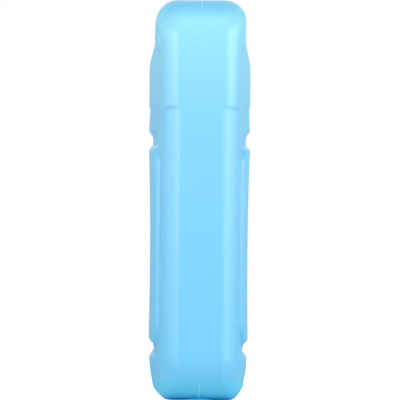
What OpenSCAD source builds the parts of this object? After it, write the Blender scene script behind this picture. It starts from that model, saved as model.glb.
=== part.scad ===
// Hard-shell reusable ice pack: a sealed, gel-filled moulding with a welded fill plug.
// X runs through the thickness, Y across the width and Z up. The pack stands on its base edge.

/* [Overall size] */
// Width of the pack across its wide faces
pack_w = 184; // [150:1:230]
// Height of the pack from its base to its top
pack_h = 171.5; // [160:0.5:210]
// Radius of the four corners of the wide faces
corner_r = 18; // [14:0.5:24]

/* [Thickness through the pack] */
// Thickness at the crease beside the narrow sides
rim_t = 34; // [31:0.1:37]
// Thickness at the crease where it runs round the head
head_rim_t = 38.2; // [35:0.1:40]
// Thickness of the head, at the top
head_t = 39.9; // [39:0.1:42]
// Thickness of the upper body, above the step
body_t = 44.6; // [43:0.1:48]
// Thickness of the label panel at its upper lip
panel_t = 44.5; // [43:0.1:48]
// Thickness of the label panel at its lower lip
panel_low_t = 43.7; // [42:0.1:47]
// Thickness of the foot at its fullest
foot_t = 43.1; // [42:0.1:47]
// Thickness of the foot where its base edge starts to round
foot_low_t = 40.5; // [39:0.1:42]
// Share of the way from the crease to the middle over which the wide faces swell
crown_reach = 0.96; // [0.5:0.02:1]

/* [Edges] */
// Width of the flat along the narrow sides above the step
side_flat = 20; // [18:0.1:22]
// Depth of the rounding of the narrow sides above the step
side_r = 7.3; // [6:0.1:9]
// Width of the flat along the narrow sides below the step
low_side_flat = 17.4; // [16:0.1:18]
// Depth of the rounding of the narrow sides below the step
low_side_r = 8.6; // [6:0.1:10]
// Angle at which the flat of the narrow sides meets its rounding
first_turn = 11; // [0:1:16]
// Width of the flat along the top
top_flat = 20.2; // [16:0.1:24]
// Depth of the rounding of the top edges
top_r = 9.2; // [7:0.1:11]
// Width of the flat that the pack stands on
base_flat = 25.8; // [22:0.2:30]
// Depth of the rounding of the base edges
base_r = 6; // [4:0.1:8]

/* [Shoulder and step] */
// Distance from the top down to the foot of the shoulder slope
shoulder_drop = 27.8; // [26:0.1:31]
// Rise of the shoulder slope up to the head
shoulder_h = 12.4; // [8:0.1:14]
// Distance from the top down to where the crease widens round the head
head_rim_drop = 19.5; // [18:0.1:24]
// Height over which the crease widens
head_rim_h = 10; // [6:0.5:14]
// Distance from the top down to the step, on the flat of the narrow sides
step_drop = 46.1; // [43:0.1:49]
// Height over which the step falls
step_h = 1.6; // [1:0.1:3]
// How far the faces stand back below the step
step_depth = 0.5; // [0.2:0.05:0.8]
// How far the step dips at the crease
step_dip = 2; // [0:0.1:3]

/* [Grooves] */
// Distance from the top down to the middle of the upper groove's floor
upper_groove_drop = 59.7; // [57:0.1:65]
// Depth of the upper groove
upper_groove_d = 1.8; // [1:0.05:2.5]
// Width of the upper groove's floor
upper_floor_w = 2.6; // [1:0.1:4]
// Height of the middle of the lower groove's floor
lower_groove_z = 20.7; // [19:0.1:30]
// Depth of the lower groove
lower_groove_d = 2; // [1:0.05:2.5]
// Width of the lower groove's floor
lower_floor_w = 2; // [1:0.1:3]
// Height of each sloping side of a groove
groove_slope = 3.4; // [2:0.1:4.5]

/* [Label panel] */
// Distance from the crease to the foot of the label panel's side walls
panel_inset = 2.4; // [1.6:0.1:20]
// Radius of the panel's corners
panel_r = 9; // [5:0.5:14]
// Width over which the panel's side walls round over into its face
panel_wall = 2.2; // [1:0.1:4]
// How far the panel's face sinks between its lips
panel_sink = 0.55; // [0:0.05:1]
// Share of the rise that the side walls take
wall_lift = 0.5; // [0.2:0.05:0.7]

/* [Grip bar] */
// Distance from the top down to the middle of the grip bar across the head
grip_drop = 17.6; // [15:0.1:21]
// Height of the grip bar
grip_h = 9.5; // [6:0.5:12]

/* [Base relief] */
// Width of the shallow hollow along the base
base_hollow_w = 12; // [6:0.5:16]
// Depth of the hollow along the base
base_hollow_d = 0.8; // [0.3:0.05:1.2]

/* [Fill plug] */
// Distance from the top down to the middle of the plug on the narrow side
plug_drop = 25.5; // [22:0.5:34]
// Diameter of the plug's head
plug_head_d = 15.6; // [12:0.1:16]
// Thickness of the plug's head
plug_head_t = 1.6; // [1:0.1:2.5]
// Diameter of the plug's stem and of the filling hole
plug_stem_d = 9.6; // [7:0.1:11]
// Length of the plug's stem below its head
plug_stem_l = 9; // [5:0.5:14]
// Radial gap of the weld groove around the plug's head
plug_gap = 0.6; // [0.3:0.1:0.9]
// How far the plug's head lies below the narrow side
plug_sunk = 0.4; // [0.1:0.1:1]
// Diameter of the dimple in the plug's head
dimple_d = 6; // [3:0.1:7]
// Depth of the dimple in the plug's head
dimple_depth = 0.7; // [0.3:0.1:0.9]

/* [Smoothness] */
// Number of steps round each rounded edge
edge_steps = 6; // [4:1:8]
// Number of facets round a full circle
$fn = 64; // [32:8:128]

/* [Hidden] */
shell_color = [0.53, 0.85, 0.98];
plug_color = [0.60, 0.87, 0.97];

half_w = pack_w / 2;
shoulder_z = pack_h - shoulder_drop;
head_rim_z = pack_h - head_rim_drop;
step_z = pack_h - step_drop;
upper_groove_z = pack_h - upper_groove_drop;
grip_z = pack_h - grip_drop;
plug_z = pack_h - plug_drop;
edge_y = half_w - low_side_r;
crown_run = crown_reach * edge_y;
panel_half_w = edge_y - panel_inset;
min_row_gap = 0.3;
crown_steps = 8;
wall_steps = 3;
slope_steps = 4;
corner_steps = 5;

// The panel runs from the lower groove's upper slope to the upper groove's lower slope.
panel_low = lower_groove_z + lower_floor_w / 2 + groove_slope;
panel_high = upper_groove_z - upper_floor_w / 2 - groove_slope;
panel_mid = (panel_low + panel_high) / 2;
panel_half = (panel_high - panel_low) / 2;
field_half = panel_half + groove_slope / 2;
foot_z = lower_groove_z - lower_floor_w / 2 - groove_slope;
band_z = upper_groove_z + upper_floor_w / 2 + groove_slope;

// Blends, and the share of the way up the step at height z
function clamp01(t) = min(1, max(0, t));
function smooth(t) = let (u = clamp01(t)) u * u * (3 - 2 * u);
function blend(a, b, t) = a + (b - a) * t;
function rise(z, low, high) = smooth((z - low) / (high - low));
function above_step(z) = rise(z, step_z - step_h / 2, step_z + step_h / 2);

// Depth that a groove takes away at height z
function groove(z, middle, floor_w, depth) =
    depth * (1 - smooth((abs(z - middle) - floor_w / 2) / groove_slope));

// Half thickness down the middle of a wide face, without the grooves
function foot_x(z) = blend(foot_low_t, foot_t, sin(90 * clamp01((z - base_r) / (foot_z - base_r)))) / 2;
function panel_x(z) =
    blend(panel_low_t, panel_t, clamp01((z - panel_low) / (2 * panel_half))) / 2
    - panel_sink * (1 - pow(clamp01(abs(z - panel_mid) / panel_half), 2));
function upper_x(z) =
    blend(body_t, head_t, rise(z, shoulder_z, shoulder_z + shoulder_h)) / 2
    - step_depth * (1 - above_step(z)) * clamp01((z - band_z) / (step_z - band_z));
function across(z, middle, floor_w) = rise(z, middle - floor_w / 2, middle + floor_w / 2);
function plain_x(z) = blend(
    blend(foot_x(z), panel_x(z), across(z, lower_groove_z, lower_floor_w)),
    upper_x(z),
    across(z, upper_groove_z, upper_floor_w));

// Half thickness down the middle of a wide face
function middle_x(z) = plain_x(z)
    - groove(z, lower_groove_z, lower_floor_w, lower_groove_d)
    - groove(z, upper_groove_z, upper_floor_w, upper_groove_d);

// Distance outside a rounded rectangle whose middle lies at height mid_z
function outside(y, z, half_y, mid_z, half_z, r) =
    let (a = abs(y) - half_y + r, b = abs(z - mid_z) - half_z + r)
    norm([max(a, 0), max(b, 0)]) + min(max(a, b), 0) - r;

// One inside a raised field, falling to nought over a quarter round that is steepest at its foot
function raised(y, z, half_y, mid_z, half_z, r) =
    sqrt(1 - pow(clamp01(outside(y, z, half_y, mid_z, half_z, r) / panel_wall + 1), 2));
function field(y, z) = max(
    raised(y, z, panel_half_w, panel_mid, field_half, panel_r),
    raised(y, z, panel_half_w, grip_z, grip_h / 2, grip_h / 2));

// Rise of a wide face from its crease, 0, to its full thickness, 1
function crown(y) = 1 - pow(1 - clamp01((edge_y - abs(y)) / crown_run), 2);

// Half thickness of the pack at the crease, and at any point of its wide face
function rim_x(z) = blend(rim_t, head_rim_t, rise(z, head_rim_z, head_rim_z + head_rim_h)) / 2;
function face_x(y, z) = blend(
    rim_x(z), middle_x(z),
    blend(wall_lift * field(y, z), 1, crown(y)));

// Turn of the outline's corner at height z: 0 along the sides and 90 at the top and the base
function turn(z) =
    z > pack_h - corner_r ? asin(clamp01((z - pack_h + corner_r) / (corner_r - top_r))) :
    z < corner_r ? asin(clamp01((corner_r - z) / (corner_r - base_r))) : 0;

// Depth and flat of the narrow side's rounding, which change at the step
function side_depth(z) = blend(low_side_r, side_r, above_step(z));
function side_half_flat(z) = blend(low_side_flat, side_flat, above_step(z)) / 2;

// Half width of the wide face, inside its rounded edge, at height z
function inner_half(z) = half_w - corner_r + (corner_r - side_depth(z)) * cos(turn(z));

// Outer edge of the narrow side that goes with the wide face's edge at height z
function outer_y(z) = half_w - corner_r + corner_r * cos(turn(z));
function outer_z(z) =
    z > pack_h - corner_r ? pack_h - corner_r + corner_r * sin(turn(z)) :
    z < corner_r ? corner_r - corner_r * sin(turn(z)) : z;
function half_flat(z) =
    let (end_flat = (z > pack_h / 2 ? top_flat : base_flat) / 2)
    blend(side_half_flat(z), end_flat, pow(sin(turn(z)), 2));

// The step dips at the crease and climbs again towards the middle, and its rows dip with it.
function near_step(z) = pow(clamp01(1 - abs(z - step_z) / (6 * step_h)), 2);
function face_dip(y, z) = blend(step_dip, -step_dip / 2, crown(y)) * near_step(z);

// Sorting of the row heights, with rows that would lie too close left out
function sorted(v) = len(v) < 2 ? v :
    let (pivot = v[floor(len(v) / 2)])
    concat(
        sorted([for (a = v) if (a < pivot) a]),
        [pivot],
        sorted([for (a = v) if (a > pivot) a]));
function thinned(v, i = 1, kept = []) =
    i == 1 ? thinned(v, 2, [v[0]]) :
    i > len(v) ? kept :
    v[i - 1] - kept[len(kept) - 1] < min_row_gap ? thinned(v, i + 1, kept) :
    thinned(v, i + 1, concat(kept, [v[i - 1]]));

function slope_rows(low) = [for (i = [0 : slope_steps]) low + groove_slope * i / slope_steps];
function between(low, high, count) = [for (i = [1 : count - 1]) blend(low, high, i / count)];
face_low = base_r;
face_high = pack_h - top_r;
all_rows = sorted(concat(
    [for (i = [1 : corner_steps]) corner_r - (corner_r - base_r) * sin(90 * i / corner_steps)],
    slope_rows(foot_z), slope_rows(panel_low - groove_slope),
    [for (i = [1 : 3]) panel_low + panel_r * i / 3, for (i = [1 : 3]) panel_high - panel_r * i / 3],
    between(panel_low + panel_r, panel_high - panel_r, 7),
    slope_rows(panel_high), slope_rows(band_z - groove_slope),
    between(band_z, step_z - step_h, 3),
    [for (i = [0 : 4]) step_z + step_h * (i - 2) / 2.6],
    between(step_z + step_h, shoulder_z, 4),
    [for (i = [0 : 5]) shoulder_z + shoulder_h * i / 5],
    [grip_z + grip_h / 2],
    [for (i = [1 : corner_steps]) pack_h - corner_r + (corner_r - top_r) * sin(90 * i / corner_steps)]));
inside_rows = [for (z = all_rows) if (z > face_low && z < face_high - min_row_gap) z];
rows = concat(thinned(concat([face_low], inside_rows)), [face_high]);

// Columns across half a wide face, closer together at the panel's side wall
wall_y = panel_half_w - panel_wall;
half_columns = concat(
    [for (i = [0 : crown_steps - 1]) wall_y * i / crown_steps],
    [for (i = [0 : wall_steps]) wall_y + panel_wall * sin(90 * i / wall_steps)],
    [blend(panel_half_w, edge_y, 0.5), edge_y]);
column_count = 2 * len(half_columns) - 1;
middle_column = len(half_columns) - 1;
row_count = len(rows);

// How far the panel's round corners draw the columns at its side wall in at height z
function corner_draw(z) =
    let (past = (abs(z - panel_mid) - field_half) / panel_r)
    panel_r * (past < 0 ? 1 - sqrt(1 - pow(clamp01(past + 1), 2)) : 1 - smooth(past));
function draw_share(k) =
    k <= crown_steps ? clamp01(2 * k / crown_steps - 1) :
    k <= crown_steps + wall_steps ? 1 :
    k == middle_column ? 0 : 0.5;
function column_y(j, z) =
    let (k = abs(j - middle_column), side = j < middle_column ? -1 : 1)
    side * (half_columns[k] * inner_half(z) / edge_y - corner_draw(z) * draw_share(k));
function grid_point(i, j) =
    let (z = rows[i], y = column_y(j, z))
    [face_x(y, z), y, z - face_dip(y, z)];

// Places round the border of a wide face, anticlockwise from its lowest corner
border = concat(
    [for (j = [0 : column_count - 1]) [0, j]],
    [for (i = [1 : row_count - 1]) [i, column_count - 1]],
    [for (j = [column_count - 2 : -1 : 0]) [row_count - 1, j]],
    [for (i = [row_count - 2 : -1 : 1]) [i, 0]]);
border_count = len(border);

// A point on a rounded edge, which turns from the flat of the edge to the border of the face
function edge_point(b, s) =
    let (
        i = border[b][0],
        j = border[b][1],
        z = rows[i],
        inner = grid_point(i, j),
        side = j == 0 ? -1 : 1,
        at_end = j > 0 && j < column_count - 1,
        out_y = at_end ? inner[1] : side * outer_y(z),
        first = first_turn * pow(cos(turn(z)), 2),
        phi = blend(first, 90, s / edge_steps),
        outward = (sin(phi) - sin(first)) / (1 - sin(first)),
        inward = (cos(first) - cos(phi)) / cos(first)
    )
    [
        blend(half_flat(z), inner[0], outward),
        blend(out_y, inner[1], inward),
        blend(outer_z(z), inner[2], inward)
    ];

// Rings from the flat of the edge to the face on one side, then both faces' inner points
function ring(s, side) = [
    for (b = [0 : border_count - 1])
        let (p = edge_point(b, s)) [side * p[0], p[1], p[2]]
];
ring_levels = [for (s = [edge_steps : -1 : 0]) [s, 1], for (s = [0 : edge_steps]) [s, -1]];
ring_points = [for (level = ring_levels) each ring(level[0], level[1])];
inner_columns = column_count - 2;
inner_rows = row_count - 2;
function inner_points(side) = [
    for (i = [1 : row_count - 2]) for (j = [1 : column_count - 2])
        let (p = grid_point(i, j)) [side * p[0], p[1], p[2]]
];
shell_points = concat(ring_points, inner_points(1), inner_points(-1));

// Number of a face's grid point among the shell's points
function border_place(i, j) =
    i == 0 ? j :
    j == column_count - 1 ? column_count - 1 + i :
    i == row_count - 1 ? column_count + row_count - 2 + (column_count - 1 - j) :
    2 * column_count + row_count - 3 + (row_count - 1 - i);
function grid_index(i, j, side) =
    let (on_border = i == 0 || j == 0 || i == row_count - 1 || j == column_count - 1)
    on_border
        ? border_place(i, j) + (side > 0 ? 0 : (len(ring_levels) - 1) * border_count)
        : len(ring_points) + (side > 0 ? 0 : inner_rows * inner_columns)
            + (i - 1) * inner_columns + j - 1;
function quad(a, b, c, d) = [[a, b, c], [a, c, d]];
function face_quads(side) = [
    for (i = [0 : row_count - 2]) for (j = [0 : column_count - 2])
        let (
            a = grid_index(i, j, side),
            b = grid_index(i, j + 1, side),
            c = grid_index(i + 1, j + 1, side),
            d = grid_index(i + 1, j, side)
        )
        each side > 0 ? quad(a, d, c, b) : quad(a, b, c, d)
];
edge_quads = [
    for (r = [0 : len(ring_levels) - 2]) for (b = [0 : border_count - 1])
        let (
            next = (b + 1) % border_count,
            a = r * border_count + b,
            c = r * border_count + next
        )
        each quad(a, c, c + border_count, a + border_count)
];

module shell_blank() {
    polyhedron(points = shell_points, faces = concat(face_quads(1), edge_quads, face_quads(-1)));
}

module along_width() {
    rotate([90, 0, 0]) children();
}

module base_hollow() {
    hollow_r = (pow(base_hollow_w / 2, 2) + pow(base_hollow_d, 2)) / (2 * base_hollow_d);
    translate([0, half_w, base_hollow_d - hollow_r]) along_width() cylinder(r = hollow_r, h = pack_w);
}

// The seat's depths are measured in from the flat of the narrow side.
module at_plug() {
    translate([0, half_w, plug_z]) along_width() children();
}

module plug_seat() {
    head_seat = plug_sunk + plug_head_t;
    at_plug() {
        translate([0, 0, -1]) cylinder(d = plug_head_d + 2 * plug_gap, h = head_seat + 1);
        cylinder(d = plug_stem_d, h = head_seat + plug_stem_l);
    }
}

module pack_shell() {
    color(shell_color)
        difference() {
            shell_blank();
            base_hollow();
            plug_seat();
        }
}

module fill_plug() {
    head_r = plug_head_d / 2;
    soft = plug_head_t / 4;
    color(plug_color)
        at_plug()
            translate([0, 0, plug_sunk])
                difference() {
                    rotate_extrude()
                        polygon([
                            [0, 0], [head_r - soft, 0], [head_r, soft], [head_r, plug_head_t],
                            [plug_stem_d / 2, plug_head_t], [plug_stem_d / 2, plug_head_t + plug_stem_l],
                            [0, plug_head_t + plug_stem_l]
                        ]);
                    translate([0, 0, -1]) cylinder(d = dimple_d, h = dimple_depth + 1);
                }
}

pack_shell();
fill_plug();
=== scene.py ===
# Looks of a hard-shell reusable ice pack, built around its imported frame.
import math

import bmesh
import bpy
import numpy as np
from mathutils import Matrix, Vector


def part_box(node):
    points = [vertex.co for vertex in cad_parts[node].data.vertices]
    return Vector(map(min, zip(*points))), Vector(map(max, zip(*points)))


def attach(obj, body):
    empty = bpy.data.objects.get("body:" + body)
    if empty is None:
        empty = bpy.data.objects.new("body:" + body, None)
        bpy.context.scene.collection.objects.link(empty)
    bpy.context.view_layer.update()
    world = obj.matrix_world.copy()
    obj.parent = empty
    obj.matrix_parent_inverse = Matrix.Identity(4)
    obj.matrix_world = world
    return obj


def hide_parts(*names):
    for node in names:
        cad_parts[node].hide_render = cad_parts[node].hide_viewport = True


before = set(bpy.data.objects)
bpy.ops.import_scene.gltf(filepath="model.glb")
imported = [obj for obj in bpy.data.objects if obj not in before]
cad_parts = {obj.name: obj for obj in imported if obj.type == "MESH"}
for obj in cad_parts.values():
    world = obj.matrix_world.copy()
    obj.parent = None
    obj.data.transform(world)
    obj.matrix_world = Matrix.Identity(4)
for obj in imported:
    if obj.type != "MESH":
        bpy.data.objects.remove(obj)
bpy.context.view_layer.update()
MM = 0.001

# Driving dimensions of the pack, in millimetres
SHELL_LOW, SHELL_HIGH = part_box("pack_shell")
PACK_W = (SHELL_HIGH[1] - SHELL_LOW[1]) / MM
PACK_H = (SHELL_HIGH[2] - SHELL_LOW[2]) / MM
HALF_W = PACK_W / 2
CORNER_R = 18.0

# Thickness through the pack
RIM_T = 34.0
HEAD_RIM_T = 38.2
HEAD_T = 39.9
BODY_T = 44.6
PANEL_T = 44.5
PANEL_LOW_T = 43.7
FOOT_T = 43.1
FOOT_LOW_T = 40.5
CROWN_RUN = 80.0
HEAD_RIM_Z, HEAD_RIM_H = 152.0, 10.0

# Rounded edges and the flats between them
SIDE_FLAT, SIDE_R = 20.0, 7.3
LOW_SIDE_FLAT, LOW_SIDE_R = 17.4, 8.6
TOP_FLAT, TOP_R = 20.2, 9.2
BASE_FLAT, BASE_R = 25.8, 6.0
FIRST_TURN = math.radians(11.0)  # where the rounding starts beside the side's flat

# Shoulder, step, grooves, panel and grip bar
SHOULDER_Z, SHOULDER_H = 143.7, 12.4
STEP_Z, STEP_H, STEP_DEPTH, STEP_DIP = 125.4, 1.6, 0.5, 2.0
DIP_REACH = 6 * STEP_H
UPPER_GROOVE_Z, UPPER_GROOVE_D, UPPER_FLOOR_W = 111.8, 1.8, 2.6
LOWER_GROOVE_Z, LOWER_GROOVE_D, LOWER_FLOOR_W = 20.7, 2.0, 2.0
GROOVE_SLOPE = 3.4
PANEL_W, PANEL_R, PANEL_WALL = 162.0, 9.0, 2.2
PANEL_SINK, WALL_LIFT = 0.55, 0.5
GRIP_Z, GRIP_H = 153.9, 9.5
BASE_HOLLOW_W, BASE_HOLLOW_D = 12.0, 0.8

# Pinch line of the mould along the top and the base: its ridge, the turn of the outline's corner at which
# it starts, and the reach of its paler colour up and down from a middle height and out from the line
PINCH_H, PINCH_W = 0.22, 0.45
PINCH_TOP_FROM, PINCH_BASE_FROM, PINCH_GROWTH = 42.0, 30.0, 9.0
PINCH_MIDDLE_Z, PINCH_REACH, PINCH_FADE = 87.2, 80.3, 2.0
PINCH_PALE_FULL, PINCH_PALE_END, PINCH_PALE_SHARE = 0.05, 0.4, 0.44

# Fill plug
PLUG_Z = 146.0
PLUG_HEAD_D, PLUG_HEAD_T = 15.6, 1.6
PLUG_STEM_D, PLUG_STEM_L = 9.6, 9.0
PLUG_GAP, PLUG_SUNK = 0.6, 0.4
PLUG_SOFT_R, PLUG_RING_SUNK = 0.35, 0.18
DIMPLE_D, DIMPLE_DEPTH, DIMPLE_R = 6.0, 0.7, 0.3
SEAT_LIP = 0.35

# Places worked out from the dimensions above
PANEL_LOW = LOWER_GROOVE_Z + LOWER_FLOOR_W / 2 + GROOVE_SLOPE
PANEL_HIGH = UPPER_GROOVE_Z - UPPER_FLOOR_W / 2 - GROOVE_SLOPE
PANEL_MID = (PANEL_LOW + PANEL_HIGH) / 2
PANEL_HALF = (PANEL_HIGH - PANEL_LOW) / 2
FIELD_HALF = PANEL_HALF + GROOVE_SLOPE / 2
FOOT_Z = LOWER_GROOVE_Z - LOWER_FLOOR_W / 2 - GROOVE_SLOPE
BAND_Z = UPPER_GROOVE_Z + UPPER_FLOOR_W / 2 + GROOVE_SLOPE
EDGE_Y = HALF_W - LOW_SIDE_R
WALL_Y = PANEL_W / 2 - PANEL_WALL
PLUG_CENTRE = (0.0, HALF_W, PLUG_Z)

# Fineness of the meshes, in millimetres where it is not a count
EDGE_STEPS, BAND_STEPS = 14, 10
BAND_NEAR_EDGE = [0.97, 0.94]
BAND_NEAR_PINCH = [1.6 * PINCH_W, PINCH_W, 0.5 * PINCH_W]
FINE_REACH = 2.6
ROW_FINE, ROW_PLAIN, ROW_IN_CORNERS, ROW_LEAST = 0.42, 1.15, 1.6, 0.16
COLUMN_FINE, COLUMN_PLAIN, COLUMN_MIDDLE = 0.4, 1.3, 2.6
SPACING_SAMPLES = 4000
TURNED_SEGMENTS = 96
SHELL_SHARP, PLUG_SHARP = 40, 35  # degrees above which an edge stays sharp

# Display colours from 0 to 255: of the plastic by share of the pack's height, which also hold painted light and
# shade, and of its pinch line
# The shell's stops are partly the plastic's tone and partly painted light and shade: lighter towards the top,
# darker on the rounded top edge, brighter and bluer at the base
SHELL_TONE_AND_PAINTED_LIGHT_STOPS = [
    (0.0, (20, 200, 250)), (0.02, (100, 214, 252)), (0.06, (118, 205, 246)),
    (0.25, (122, 206, 246)), (0.5, (128, 209, 250)), (0.72, (134, 211, 250)),
    (0.88, (146, 221, 251)), (0.95, (148, 225, 253)), (1.0, (94, 203, 249)),
]
PLUG_STOPS = [(0.0, (140, 220, 250)), (1.0, (162, 232, 252))]
PINCH_COLOUR = (178, 238, 253)

# Gloss and grain of the plastic. The wide faces are rougher, from one X part of the normal to another
SHELL_MOTTLE, SHELL_ROUGHNESS = 0.006, 0.3
PLUG_MOTTLE, PLUG_ROUGHNESS = 0.02, 0.36
ROUGHNESS_SPREAD = 0.05
FACE_FROM, FACE_FULL, FACE_ROUGHER = 0.72, 0.94, 0.36
CLOUD_SCALE, PATCH_SCALE, WAVE_SCALE, GRAIN_SCALE = 42.0, 160.0, 55.0, 2400.0
CLOUD_LOW, CLOUD_HIGH = 0.3, 0.7
BUMP_STRENGTH = 0.15
WAVE_DEPTH, GRAIN_DEPTH = 0.0003, 0.00003
REFRACTION, SPECULAR = 1.5, 0.5
SUBSURFACE_WEIGHT, SUBSURFACE_RADIUS, SUBSURFACE_SCALE = 0.2, (0.35, 0.8, 1.0), 0.0012

# Floor and world: grey and glow that show as white together, and the painted blue light under the pack
WHITE = (1, 1, 1, 1)
FLOOR_REACH, FLOOR_BEHIND = 3.0, 0.9
FLOOR_GREY, FLOOR_GLOW, AMBIENT = 0.82, 0.8, 0.15
# Half extents of the painted blue light, which stays under the pack on every side
PAINTED_UNDER_LIGHT_HALF = {"X": BASE_FLAT / 2 + 2, "Y": HALF_W - CORNER_R + 8}
PAINTED_UNDER_LIGHT_FADE = 4
# Painted light and shade under the pack: a blue floor colour and a blue glow for the camera stand for light
# through the gel and the shade in the base's hollow
PAINTED_UNDER_TINT, PAINTED_UNDER_GLOW = (150, 222, 252), (20, 170, 240)

# The camera looks at the narrow side from far off, a little from the left and a little rolled
CAMERA_DISTANCE = 2.2
CAMERA_SIDE_TURN = math.radians(0.45)
CAMERA_SHIFT = -0.00022
CAMERA_ROLL = math.radians(0.44)
CAMERA_HEIGHT = PACK_H * MM / 2
CAMERA_CLIP_END = 20
SENSOR = 36.0
PIXELS = 400.0
FRAMED_PIXELS = 399.5

# Softboxes round the pack: bearing from the camera's side in degrees, width in metres and power in watts
SOFTBOXES = {
    "left_front": (-30, 0.75, 12.8),
    "left_side": (-64, 1.2, 8.8),
    "right_front": (46, 0.75, 14.2),
    "right_side": (74, 0.9, 8.4),
}
SOFTBOX_DISTANCE, SOFTBOX_MIDDLE_Z, SOFTBOX_H = 1.62, 0.3, 1.3
# Softboxes above and behind: place, width, height and power
TOP_SOFTBOX = ((0, -0.6, 1.25), 0.9, 0.9, 2.4)
BACK_SOFTBOX = ((0, 1.15, 1.1), 1.2, 0.8, 8.0)


def clamp01(t):
    return np.clip(t, 0.0, 1.0)


def smooth(t):
    u = clamp01(t)
    return u * u * (3 - 2 * u)


def mix(a, b, t):
    return a + (b - a) * t


def rise(z, low, high):
    return smooth((z - low) / (high - low))


def above_step(z):
    return rise(z, STEP_Z - STEP_H / 2, STEP_Z + STEP_H / 2)


def groove(z, middle, floor_w, depth):
    return depth * (1 - smooth((abs(z - middle) - floor_w / 2) / GROOVE_SLOPE))


def middle_x(z):
    """Half thickness down the middle of a wide face."""
    foot_share = np.sin(math.pi / 2 * clamp01((z - BASE_R) / (FOOT_Z - BASE_R)))
    foot = mix(FOOT_LOW_T, FOOT_T, foot_share) / 2
    sink = PANEL_SINK * (1 - clamp01(abs(z - PANEL_MID) / PANEL_HALF) ** 2)
    panel = mix(PANEL_LOW_T, PANEL_T, clamp01((z - PANEL_LOW) / (2 * PANEL_HALF))) / 2 - sink
    upper = mix(BODY_T, HEAD_T, rise(z, SHOULDER_Z, SHOULDER_Z + SHOULDER_H)) / 2
    upper = upper - STEP_DEPTH * (1 - above_step(z)) * clamp01((z - BAND_Z) / (STEP_Z - BAND_Z))
    low_half, high_half = LOWER_FLOOR_W / 2, UPPER_FLOOR_W / 2
    plain = mix(foot, panel, rise(z, LOWER_GROOVE_Z - low_half, LOWER_GROOVE_Z + low_half))
    plain = mix(plain, upper, rise(z, UPPER_GROOVE_Z - high_half, UPPER_GROOVE_Z + high_half))
    return (
        plain
        - groove(z, LOWER_GROOVE_Z, LOWER_FLOOR_W, LOWER_GROOVE_D)
        - groove(z, UPPER_GROOVE_Z, UPPER_FLOOR_W, UPPER_GROOVE_D)
    )


def raised(y, z, half_y, mid_z, half_z, r):
    """One inside a raised field, falling to nought over a quarter round."""
    a = abs(y) - half_y + r
    b = abs(z - mid_z) - half_z + r
    past_corner = np.hypot(np.maximum(a, 0), np.maximum(b, 0))
    outside = past_corner + np.minimum(np.maximum(a, b), 0) - r
    return np.sqrt(1 - clamp01(outside / PANEL_WALL + 1) ** 2)


def crown(y):
    """Share of the crown across a wide face, from 0 at its edge to 1."""
    return 1 - (1 - clamp01((EDGE_Y - abs(y)) / CROWN_RUN)) ** 2


def rim_x(z):
    """Half thickness along the border of a wide face."""
    return mix(RIM_T, HEAD_RIM_T, rise(z, HEAD_RIM_Z, HEAD_RIM_Z + HEAD_RIM_H)) / 2


def face_x(y, z):
    """Half thickness of the pack at a point of its wide face."""
    panel = raised(y, z, PANEL_W / 2, PANEL_MID, FIELD_HALF, PANEL_R)
    grip = raised(y, z, PANEL_W / 2, GRIP_Z, GRIP_H / 2, GRIP_H / 2)
    lift = WALL_LIFT * np.maximum(panel, grip)
    return mix(rim_x(z), middle_x(z), mix(lift, 1.0, crown(y)))


def turn(z):
    """Turn of the outline's corner at height z, from 0 along the sides to a quarter turn."""
    top = clamp01((z - PACK_H + CORNER_R) / (CORNER_R - TOP_R))
    base = clamp01((CORNER_R - z) / (CORNER_R - BASE_R))
    return np.arcsin(np.maximum(top, base))


def inner_half(z):
    """Half width of a wide face at height z, inside the rounded edge."""
    depth = mix(LOW_SIDE_R, SIDE_R, above_step(z))
    return HALF_W - CORNER_R + (CORNER_R - depth) * np.cos(turn(z))


def half_flat(z):
    """Half width of the flat band between the rounded edges."""
    side = mix(LOW_SIDE_FLAT, SIDE_FLAT, above_step(z)) / 2
    end = np.where(z > PACK_H / 2, TOP_FLAT, BASE_FLAT) / 2
    return mix(side, end, np.sin(turn(z)) ** 2)


def outer_z(z):
    """Height of the outline for a row at height z of the face's border."""
    bend = CORNER_R * np.sin(turn(z))
    low_part = np.where(z < CORNER_R, CORNER_R - bend, z)
    return np.where(z > PACK_H - CORNER_R, PACK_H - CORNER_R + bend, low_part)


def face_dip(y, z):
    """How far the fine step is drawn down towards the edges and up in the middle."""
    near = clamp01(1 - abs(z - STEP_Z) / DIP_REACH) ** 2
    return mix(STEP_DIP, -STEP_DIP / 2, crown(y)) * near


def spaced(low, high, spacing):
    """Places from low to high, as close together as spacing asks at each place."""
    fine = np.linspace(low, high, SPACING_SAMPLES)
    steps = np.concatenate([[0], np.cumsum(np.diff(fine) / spacing((fine[1:] + fine[:-1]) / 2))])
    return np.interp(np.linspace(0, steps[-1], int(steps[-1]) + 1), steps, fine)


def near_any(v, places, reach):
    return np.min([abs(v - p) - reach for p in places], axis=0) < 0


def row_spacing(z):
    """Rows lie closer on the slopes and where the outline's corners turn."""
    half = GROOVE_SLOPE / 2
    slopes = [FOOT_Z + half, PANEL_LOW - half, PANEL_HIGH + half, BAND_Z - half, STEP_Z]
    step = np.where(near_any(z, slopes, FINE_REACH), ROW_FINE, ROW_PLAIN)
    return np.maximum(np.minimum(step, ROW_IN_CORNERS * np.cos(turn(z))), ROW_LEAST)


def column_spacing(y):
    """Columns lie closer at the panel's side walls and further apart in the flat middle."""
    plain = np.where(y < EDGE_Y - CROWN_RUN, COLUMN_MIDDLE, COLUMN_PLAIN)
    return np.where(near_any(y, [WALL_Y + PANEL_WALL / 2], FINE_REACH), COLUMN_FINE, plain)


def corner_draw(z):
    """How far the panel's round corners draw the columns at its side wall in at height z."""
    past = (abs(z - PANEL_MID) - FIELD_HALF) / PANEL_R
    inside = 1 - np.sqrt(1 - clamp01(past + 1) ** 2)
    return PANEL_R * np.where(past < 0, inside, 1 - smooth(past))


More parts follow.
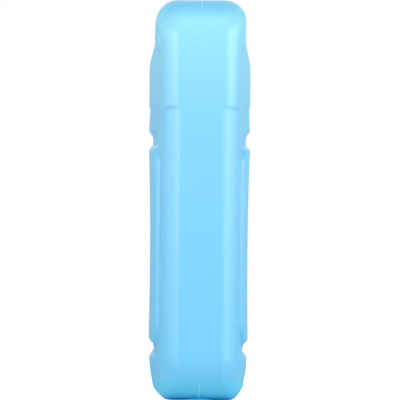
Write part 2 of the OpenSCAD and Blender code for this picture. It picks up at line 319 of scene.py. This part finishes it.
def shell_surface():
    """Vertices and quads of the closed shell: two faces joined by rounded edges and a flat band."""
    rows = spaced(BASE_R, PACK_H - TOP_R, row_spacing)
    half = spaced(0.0, EDGE_Y, column_spacing)
    y_plain = np.concatenate([-half[:0:-1], half])
    draw_places = [0, EDGE_Y - CROWN_RUN, WALL_Y, WALL_Y + PANEL_WALL, EDGE_Y]
    draw_share = np.interp(half, draw_places, [0, 0, 1, 1, 0])
    share = np.concatenate([-draw_share[:0:-1], draw_share])
    z, y = np.meshgrid(rows, y_plain, indexing="ij")
    y = y * inner_half(z) / EDGE_Y - share[None, :] * corner_draw(z)
    x = face_x(y, z)
    face = np.stack([x, y, z - face_dip(y, z)], axis=-1)
    row_count, column_count = z.shape

    # Places round the border of a face, from its lowest corner
    i = np.arange(row_count)
    j = np.arange(column_count)
    border = (
        [(0, k) for k in j]
        + [(k, column_count - 1) for k in i[1:]]
        + [(row_count - 1, k) for k in j[-2::-1]]
        + [(k, 0) for k in i[-2:0:-1]]
    )
    bi = np.array([b[0] for b in border])
    bj = np.array([b[1] for b in border])
    bz = rows[bi]
    side = np.where(bj == 0, -1.0, 1.0)
    at_end = (bj > 0) & (bj < column_count - 1)
    inner = face[bi, bj]
    angle = turn(bz)
    rim_y = np.where(at_end, inner[:, 1], side * (HALF_W - CORNER_R + CORNER_R * np.cos(angle)))
    rim_z = outer_z(bz)
    flat = half_flat(bz)
    first = FIRST_TURN * np.cos(angle) ** 2

    def edge_ring(t):
        """Ring of a rounded edge, from the flat at 0 to the face's border at 1."""
        phi = mix(first, math.pi / 2, t)
        out = (np.sin(phi) - np.sin(first)) / (1 - np.sin(first))
        down = (np.cos(first) - np.cos(phi)) / np.cos(first)
        ring = [mix(flat, inner[:, 0], out), mix(rim_y, inner[:, 1], down), mix(rim_z, inner[:, 2], down)]
        return np.stack(ring, -1)

    # The flat band carries the pinch line along the top and the base, and the hollow under the base
    normal_y = np.where(at_end, 0.0, side * np.cos(angle))
    normal_z = np.where(bz > PACK_H / 2, 1.0, -1.0) * np.sin(angle)
    line_from = np.radians(np.where(bz > PACK_H / 2, PINCH_TOP_FROM, PINCH_BASE_FROM))
    line = smooth((angle - line_from) / np.radians(PINCH_GROWTH))

    def band_ring(xs):
        """Ring of the flat band at places xs across it."""
        ridge = PINCH_H * line * np.clip(1 - abs(xs) / PINCH_W, 0, 1)
        hollow = np.where(bz > PACK_H / 2, -1.0, BASE_HOLLOW_D * (1 - (2 * xs / BASE_HOLLOW_W) ** 2))
        z_band = np.maximum(rim_z, hollow)
        return np.stack([xs, rim_y + ridge * normal_y, z_band + ridge * normal_z], -1)

    edge_turns = np.linspace(1, 0, EDGE_STEPS + 1)
    one_side = [edge_ring(t) for t in edge_turns]
    flip = np.array([-1.0, 1.0, 1.0])
    shares = np.concatenate([BAND_NEAR_EDGE, np.linspace(1, 0, BAND_STEPS + 1)[1:-1]])
    band = [band_ring(s * flat) for s in shares if s * LOW_SIDE_FLAT / 2 > PINCH_W * 2]
    band += [band_ring(np.full_like(flat, place)) for place in BAND_NEAR_PINCH]
    band_other = [r * flip for r in band[::-1]]
    middle_ring = band_ring(np.zeros_like(flat))
    rings = one_side + band + [middle_ring] + band_other + [r * flip for r in one_side[::-1]]
    ring_points = np.concatenate(rings)
    count = len(border)
    inner_count = (row_count - 2) * (column_count - 2)

    def numbers(ring_start, inner_start):
        """Numbers of a face's points, whose border belongs to the first or the last ring."""
        n = np.zeros((row_count, column_count), dtype=int)
        n[1:-1, 1:-1] = inner_start + np.arange(inner_count).reshape(row_count - 2, -1)
        n[bi, bj] = ring_start + np.arange(count)
        return n

    def quads_of(n, flipped):
        """Quads of a face whose points have the numbers n."""
        a, b, c, d = n[:-1, :-1], n[:-1, 1:], n[1:, 1:], n[1:, :-1]
        order = (a, d, c, b) if flipped else (a, b, c, d)
        return np.stack([v.ravel() for v in order], -1)

    near_face = face[1:-1, 1:-1].reshape(-1, 3)
    points = np.concatenate([ring_points, near_face, near_face * flip])
    first_numbers = numbers(0, len(ring_points))
    last_numbers = numbers((len(rings) - 1) * count, len(ring_points) + inner_count)
    ring_start = np.arange(len(rings) - 1)[:, None] * count
    here = np.arange(count)[None, :]
    after = (here + 1) % count
    edge = np.stack(
        [(ring_start + v).ravel() for v in (here, here + count, after + count, after)], -1
    )
    quads = np.concatenate([quads_of(first_numbers, False), quads_of(last_numbers, True), edge])
    return points, quads


def mesh_object(name, points, faces):
    """A mesh object of points in millimetres."""
    mesh = bpy.data.meshes.new(name)
    mesh.from_pydata((points * MM).tolist(), [], faces.tolist())
    mesh.validate()
    obj = bpy.data.objects.new(name, mesh)
    bpy.context.scene.collection.objects.link(obj)
    return obj


def turned_object(name, profile, centre):
    """A closed form turned about the Y axis through centre.

    The profile holds radius and depth, which is measured in from the side.
    """
    bm = bmesh.new()
    rings = []
    for radius, depth in profile:
        if radius == 0:
            rings.append([bm.verts.new((0, -depth, 0))])
            continue
        ring = []
        for k in range(TURNED_SEGMENTS):
            a = 2 * math.pi * k / TURNED_SEGMENTS
            ring.append(bm.verts.new((radius * math.cos(a), -depth, radius * math.sin(a))))
        rings.append(ring)
    for low, high in zip(rings, rings[1:], strict=False):
        for k in range(TURNED_SEGMENTS):
            after = (k + 1) % TURNED_SEGMENTS
            if len(low) == 1:
                bm.faces.new((low[0], high[k], high[after]))
            elif len(high) == 1:
                bm.faces.new((low[k], high[0], low[after]))
            else:
                bm.faces.new((low[k], high[k], high[after], low[after]))
    bmesh.ops.recalc_face_normals(bm, faces=bm.faces)
    bm.transform(Matrix.Translation(Vector(centre)))
    bm.transform(Matrix.Scale(MM, 4))
    mesh = bpy.data.meshes.new(name)
    bm.to_mesh(mesh)
    bm.free()
    obj = bpy.data.objects.new(name, mesh)
    bpy.context.scene.collection.objects.link(obj)
    return obj


def soften(obj, degrees):
    """Smooth shading, with edges sharper than the angle kept."""
    obj.data.shade_smooth()
    obj.data.set_sharp_from_angle(angle=math.radians(degrees))


def cut_plug_seat(shell):
    """Cuts the stepped seat of the fill plug into the narrow side."""
    head_seat = PLUG_SUNK + PLUG_HEAD_T
    seat_r = PLUG_HEAD_D / 2 + PLUG_GAP
    cutter = turned_object(
        "plug_seat_cutter",
        [
            (0, -1.0), (seat_r + SEAT_LIP, -1.0), (seat_r + SEAT_LIP, 0.0), (seat_r, SEAT_LIP),
            (seat_r, head_seat), (PLUG_STEM_D / 2, head_seat),
            (PLUG_STEM_D / 2, head_seat + PLUG_STEM_L), (0, head_seat + PLUG_STEM_L),
        ],
        PLUG_CENTRE,
    )
    modifier = shell.modifiers.new("plug_seat", "BOOLEAN")
    modifier.operation = "DIFFERENCE"
    modifier.solver = "EXACT"
    modifier.object = cutter
    evaluated = shell.evaluated_get(bpy.context.evaluated_depsgraph_get())
    mesh = bpy.data.meshes.new_from_object(evaluated)
    shell.modifiers.clear()
    shell.data = mesh
    mesh.name = shell.name
    bpy.data.objects.remove(cutter)


def arc(centre, radius, start, end, steps):
    """Points of an arc, with its angles in degrees."""
    out = []
    for k in range(steps + 1):
        a = math.radians(start + (end - start) * k / steps)
        out.append((centre[0] + radius * math.cos(a), centre[1] + radius * math.sin(a)))
    return out


def fill_plug():
    """The fill plug, with a dimple and a fine ring on its rounded head."""
    top, bottom = PLUG_SUNK, PLUG_SUNK + PLUG_HEAD_T
    head_r, dimple_r = PLUG_HEAD_D / 2, DIMPLE_D / 2
    flat_r, floor_r = head_r - PLUG_SOFT_R, dimple_r - 0.5
    profile = [(0, top + DIMPLE_DEPTH), (floor_r, top + DIMPLE_DEPTH)]
    profile += arc((floor_r, top + DIMPLE_DEPTH - DIMPLE_R), DIMPLE_R, 90, 20, 4)
    profile += [(dimple_r - 0.05, top + 0.15), (dimple_r + 0.1, top)]
    profile += [(flat_r - 1.6, top), (flat_r - 1.4, top + PLUG_RING_SUNK)]
    profile += [(flat_r - 1.0, top + PLUG_RING_SUNK), (flat_r - 0.8, top)]
    profile += arc((flat_r, top + PLUG_SOFT_R), PLUG_SOFT_R, -90, 0, 5)
    profile += [(head_r, bottom), (PLUG_STEM_D / 2, bottom)]
    profile += [(PLUG_STEM_D / 2, bottom + PLUG_STEM_L), (0, bottom + PLUG_STEM_L)]
    return turned_object("fill_plug_detailed", profile, PLUG_CENTRE)


def put(tree, value, socket):
    """Links a socket's value to a socket, or sets a plain value on it."""
    if isinstance(value, bpy.types.NodeSocket):
        tree.links.new(value, socket)
    else:
        socket.default_value = value


def node(tree, kind, x, y, **values):
    """A node at a place of the tree, with its sockets and settings by name."""
    made = tree.nodes.new(kind)
    made.location = (x, y)
    for key, value in values.items():
        name = key.replace("_", " ")
        if key in made.inputs:
            put(tree, value, made.inputs[key])
        elif name in made.inputs:
            put(tree, value, made.inputs[name])
        else:
            setattr(made, key, value)
    return made


def maths(tree, x, y, operation, *values):
    made = node(tree, "ShaderNodeMath", x, y, operation=operation)
    for k, value in enumerate(values):
        put(tree, value, made.inputs[k])
    return made.outputs[0]


def ranged(tree, x, y, value, start, end, low=0.0, high=1.0):
    """Goes from low to high while the value goes from start to end."""
    made = node(
        tree, "ShaderNodeMapRange", x, y,
        Value=value, From_Min=start, From_Max=end, To_Min=low, To_Max=high,
    )
    return made.outputs["Result"]


def mixed(tree, x, y, share, low, high):
    """Colour between low and high."""
    made = node(tree, "ShaderNodeMix", x, y, data_type="RGBA")
    for socket, value in ((0, share), (6, low), (7, high)):
        put(tree, value, made.inputs[socket])
    return made.outputs[2]


def noise(tree, x, y, place, scale, detail, roughness):
    made = node(tree, "ShaderNodeTexNoise", x, y, Vector=place, Scale=scale, Detail=detail, Roughness=roughness)
    return made.outputs["Fac"]


def empty_tree(holder):
    holder.use_nodes = True
    holder.node_tree.nodes.clear()
    return holder.node_tree


def srgb(r, g, b):
    """Linear colour of a display colour given from 0 to 255."""
    def linear(v):
        v = v / 255
        return v / 12.92 if v <= 0.04045 else ((v + 0.055) / 1.055) ** 2.4
    return (linear(r), linear(g), linear(b), 1.0)


def plastic_colour(tree, place, split, stops, mottle):
    """Colour that changes softly from the base to the top, with painted light and shade in the shell's stops, a
    little cloudy, with a paler pinch line.
    """
    height = ranged(tree, -820, 200, split.outputs["Z"], 0.0, PACK_H * MM)
    # The ramp by height paints light and shade into the shell's colour as well as giving its tone
    ramp = node(tree, "ShaderNodeValToRGB", -600, 250, Fac=height)
    ramp.color_ramp.elements[0].color = srgb(*stops[0][1])
    ramp.color_ramp.elements[1].color = srgb(*stops[-1][1])
    for position, colour in stops[1:-1]:
        ramp.color_ramp.elements.new(position).color = srgb(*colour)
    cloud = noise(tree, -820, -100, place, CLOUD_SCALE, 3.0, 0.55)
    clouded = ranged(tree, -600, -100, cloud, CLOUD_LOW, CLOUD_HIGH, 1.0 - mottle, 1.0 + mottle)
    shade = node(tree, "ShaderNodeVectorMath", -300, 150, operation="SCALE", Scale=clouded)
    tree.links.new(ramp.outputs["Color"], shade.inputs[0])

    # The pinch line has no gel behind it, so it is paler
    across = maths(tree, -820, 500, "ABSOLUTE", split.outputs["X"])
    near_line = ranged(
        tree, -600, 500, across, PINCH_PALE_FULL * MM, PINCH_PALE_END * MM, PINCH_PALE_SHARE, 0.0
    )
    up = maths(tree, -820, 700, "SUBTRACT", split.outputs["Z"], PINCH_MIDDLE_Z * MM)
    from_middle = maths(tree, -700, 700, "ABSOLUTE", up)
    at_ends = ranged(tree, -600, 700, from_middle, (PINCH_REACH - PINCH_FADE) * MM, PINCH_REACH * MM)
    line_share = maths(tree, -300, 600, "MULTIPLY", near_line, at_ends)
    return mixed(tree, 0, 300, line_share, shade.outputs["Vector"], srgb(*PINCH_COLOUR))


def plastic_roughness(tree, place, normal, roughness):
    """Slightly uneven gloss, rougher on the wide faces."""
    patch = noise(tree, -820, -350, place, PATCH_SCALE, 4.0, 0.6)
    uneven = ranged(
        tree, -600, -350, patch, 0.0, 1.0, roughness - ROUGHNESS_SPREAD, roughness + ROUGHNESS_SPREAD
    )
    facing = node(tree, "ShaderNodeSeparateXYZ", -820, -950, Vector=normal)
    sideways = maths(tree, -600, -950, "ABSOLUTE", facing.outputs["X"])
    rougher = ranged(tree, -300, -350, sideways, FACE_FROM, FACE_FULL, 0.0, FACE_ROUGHER)
    return maths(tree, -100, -350, "ADD", uneven, rougher)


def plastic_normal(tree, place):
    """Fine grain of the mould over slow waves of the blown wall."""
    grain = noise(tree, -820, -600, place, GRAIN_SCALE, 2.0, 0.5)
    waves = noise(tree, -820, -800, place, WAVE_SCALE, 1.0, 0.4)
    wave_bump = node(
        tree, "ShaderNodeBump", -100, -700, Strength=BUMP_STRENGTH, Distance=WAVE_DEPTH, Height=waves
    )
    grain_bump = node(
        tree, "ShaderNodeBump", 150, -500,
        Strength=BUMP_STRENGTH, Distance=GRAIN_DEPTH, Height=grain, Normal=wave_bump.outputs["Normal"],
    )
    return grain_bump.outputs["Normal"]


def moulded_plastic(name, stops, mottle, roughness):
    """Translucent moulded polyethylene."""
    material = bpy.data.materials.new(name)
    tree = empty_tree(material)
    coordinates = node(tree, "ShaderNodeTexCoord", -1200, 0)
    place = coordinates.outputs["Object"]
    split = node(tree, "ShaderNodeSeparateXYZ", -1000, 200, Vector=place)
    shader = node(
        tree, "ShaderNodeBsdfPrincipled", 600, 0,
        Base_Color=plastic_colour(tree, place, split, stops, mottle),
        Roughness=plastic_roughness(tree, place, coordinates.outputs["Normal"], roughness),
        Normal=plastic_normal(tree, place),
        IOR=REFRACTION,
        Specular_IOR_Level=SPECULAR,
        Subsurface_Weight=SUBSURFACE_WEIGHT,
        Subsurface_Radius=SUBSURFACE_RADIUS,
        Subsurface_Scale=SUBSURFACE_SCALE,
    )
    node(tree, "ShaderNodeOutputMaterial", 900, 0, Surface=shader.outputs["BSDF"])
    return material


def build_shell():
    points, quads = shell_surface()
    shell = mesh_object("pack_shell_moulded", points, quads)
    cut_plug_seat(shell)
    soften(shell, SHELL_SHARP)
    shell.data.materials.append(
        moulded_plastic("shell_polyethylene", SHELL_TONE_AND_PAINTED_LIGHT_STOPS, SHELL_MOTTLE, SHELL_ROUGHNESS)
    )
    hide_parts("pack_shell")
    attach(shell, "root")


def build_plug():
    plug = fill_plug()
    soften(plug, PLUG_SHARP)
    plug.data.materials.append(
        moulded_plastic("plug_polyethylene", PLUG_STOPS, PLUG_MOTTLE, PLUG_ROUGHNESS)
    )
    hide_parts("fill_plug")
    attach(plug, "root")


def softbox(name, place, target, width, height, power):
    """An area light aimed at the target, which the camera does not see."""
    light = bpy.data.lights.new(name, "AREA")
    light.shape = "RECTANGLE"
    light.size = width
    light.size_y = height
    light.energy = power
    obj = bpy.data.objects.new(name, light)
    bpy.context.scene.collection.objects.link(obj)
    obj.visible_camera = False
    obj.location = place
    obj.rotation_euler = (Vector(target) - Vector(place)).to_track_quat("-Z", "Y").to_euler()
    return obj


def build_floor():
    """A pale floor that shows as white, with the pack's shadow and painted blue light under it."""
    mesh = bpy.data.meshes.new("floor")
    w, behind = FLOOR_REACH, FLOOR_BEHIND
    mesh.from_pydata([(-w, -w, 0), (w, -w, 0), (w, behind, 0), (-w, behind, 0)], [], [(0, 1, 2, 3)])
    floor = bpy.data.objects.new("floor", mesh)
    bpy.context.scene.collection.objects.link(floor)
    material = bpy.data.materials.new("floor_white")
    tree = empty_tree(material)
    place = node(tree, "ShaderNodeTexCoord", -1000, -300)
    split = node(tree, "ShaderNodeSeparateXYZ", -800, -300, Vector=place.outputs["Object"])
    away = []
    for k, (axis, half) in enumerate(PAINTED_UNDER_LIGHT_HALF.items()):
        across = maths(tree, -600, -300 - 200 * k, "ABSOLUTE", split.outputs[axis])
        away.append(ranged(tree, -400, -300 - 200 * k, across, (half - PAINTED_UNDER_LIGHT_FADE) * MM, half * MM))
    clear = maths(tree, -200, -300, "MAXIMUM", *away)
    grey = (FLOOR_GREY, FLOOR_GREY, FLOOR_GREY, 1)
    # Under the pack the floor's colour and its camera-only glow are painted blue, standing for light through
    # the gel
    painted_floor_tint = mixed(tree, -200, 100, clear, srgb(*PAINTED_UNDER_TINT), grey)
    painted_glow_colour = mixed(tree, -200, -500, clear, srgb(*PAINTED_UNDER_GLOW), WHITE)
    diffuse = node(tree, "ShaderNodeBsdfDiffuse", 0, 0, Color=painted_floor_tint)
    glow = node(tree, "ShaderNodeEmission", 0, -200, Color=painted_glow_colour, Strength=FLOOR_GLOW)
    both = node(tree, "ShaderNodeAddShader", 200, -100)
    tree.links.new(diffuse.outputs[0], both.inputs[0])
    tree.links.new(glow.outputs[0], both.inputs[1])

    # The glow is for the camera alone, so it does not light the pack
    path = node(tree, "ShaderNodeLightPath", 0, 300)
    seen = node(tree, "ShaderNodeMixShader", 400, 0, Fac=path.outputs["Is Camera Ray"])
    tree.links.new(diffuse.outputs[0], seen.inputs[1])
    tree.links.new(both.outputs[0], seen.inputs[2])
    node(tree, "ShaderNodeOutputMaterial", 600, 0, Surface=seen.outputs[0])
    mesh.materials.append(material)


def build_world():
    """White for the camera and in reflections, and plain soft light for everything else."""
    world = bpy.data.worlds.new("studio")
    bpy.context.scene.world = world
    tree = empty_tree(world)
    soft = node(tree, "ShaderNodeBackground", 0, 0, Color=WHITE, Strength=AMBIENT)
    white = node(tree, "ShaderNodeBackground", 0, -200, Color=WHITE, Strength=1.0)
    path = node(tree, "ShaderNodeLightPath", -400, 300).outputs
    seen = maths(tree, -200, 300, "MAXIMUM", path["Is Camera Ray"], path["Is Glossy Ray"])
    seen = maths(tree, 0, 300, "MAXIMUM", seen, path["Is Transmission Ray"])
    choose = node(tree, "ShaderNodeMixShader", 300, 0, Fac=seen)
    tree.links.new(soft.outputs[0], choose.inputs[1])
    tree.links.new(white.outputs[0], choose.inputs[2])
    node(tree, "ShaderNodeOutputWorld", 600, 0, Surface=choose.outputs[0])


def build_camera():
    data = bpy.data.cameras.new("camera")
    camera = bpy.data.objects.new("camera", data)
    bpy.context.scene.collection.objects.link(camera)
    bpy.context.scene.camera = camera
    near = -HALF_W * MM
    place = Vector((
        CAMERA_SHIFT - CAMERA_DISTANCE * math.sin(CAMERA_SIDE_TURN),
        near - CAMERA_DISTANCE * math.cos(CAMERA_SIDE_TURN),
        CAMERA_HEIGHT,
    ))
    target = Vector((CAMERA_SHIFT, near, CAMERA_HEIGHT))
    camera.location = place
    look = (target - place).to_track_quat("-Z", "Y")
    roll = Matrix.Rotation(CAMERA_ROLL, 4, "Z")
    camera.rotation_euler = (look.to_matrix().to_4x4() @ roll).to_euler()

    # The pack's height fills the picture at the depth of its widest outline
    edge_distance = CAMERA_DISTANCE + CORNER_R * MM
    view_height = PACK_H * MM * PIXELS / FRAMED_PIXELS
    data.sensor_width = SENSOR
    data.lens = SENSOR * edge_distance / view_height
    data.clip_end = CAMERA_CLIP_END


def build_lights():
    middle = (0, 0, CAMERA_HEIGHT)
    for name, (bearing, width, power) in SOFTBOXES.items():
        a = math.radians(bearing)
        place = (SOFTBOX_DISTANCE * math.sin(a), -SOFTBOX_DISTANCE * math.cos(a), SOFTBOX_MIDDLE_Z)
        softbox(name + "_softbox", place, middle, width, SOFTBOX_H, power)
    place, width, height, power = TOP_SOFTBOX
    softbox("top_softbox", place, middle, width, height, power)
    place, width, height, power = BACK_SOFTBOX
    back = softbox("back_softbox", place, middle, width, height, power)
    back.visible_glossy = False


build_camera()
build_lights()
build_world()
build_floor()
build_shell()
build_plug()

bpy.context.scene.view_settings.view_transform = "Standard"
